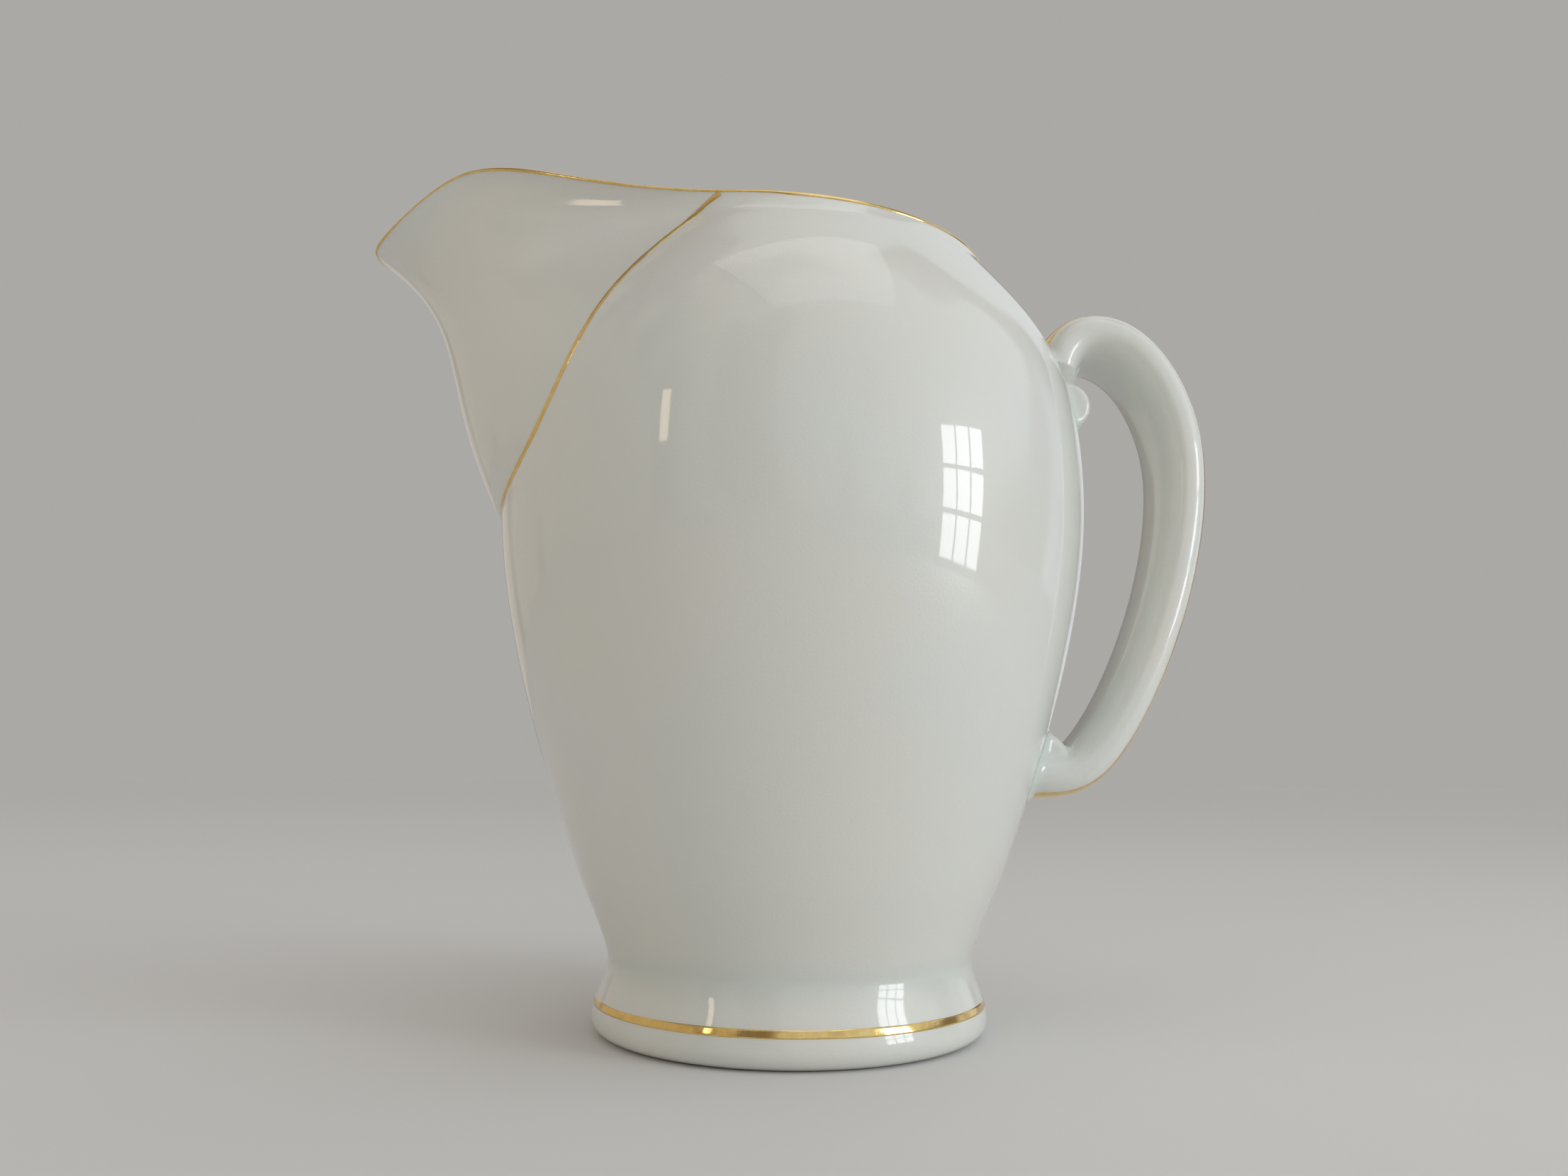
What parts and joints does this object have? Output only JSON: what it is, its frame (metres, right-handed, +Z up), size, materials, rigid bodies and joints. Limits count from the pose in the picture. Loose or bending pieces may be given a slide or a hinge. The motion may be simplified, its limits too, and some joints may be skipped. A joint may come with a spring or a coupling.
{
  "type": "porcelain cream jug",
  "caption": "White glazed porcelain cream jug with a round belly, rolled foot, broad pouring spout, strap handle with a scroll, and gilt lines on rim, spout, foot and handle",
  "frame": {"origin": "centre of the foot, on the surface that the jug stands on", "axes": "+Z up the axis of the body, -X towards the spout, +X towards the handle, +Y across the jug"},
  "size_m": [0.126, 0.085, 0.1206],
  "materials": {
    "porcelain": "cool white porcelain under a clear glossy glaze",
    "slip": "fired porcelain slip under the same glaze",
    "gilt": "bright burnished gold line fired on the glaze"
  },
  "bodies": {
    "root": {"body": "porcelain", "spout": "porcelain", "foot": "porcelain", "handle": "porcelain", "upper_luting_slip": "slip", "lower_luting_slip": "slip", "rim_gilding": "gilt", "crease_gilding": "gilt", "foot_gilding": "gilt", "handle_gilding": "gilt"}
  },
  "joints": []
}
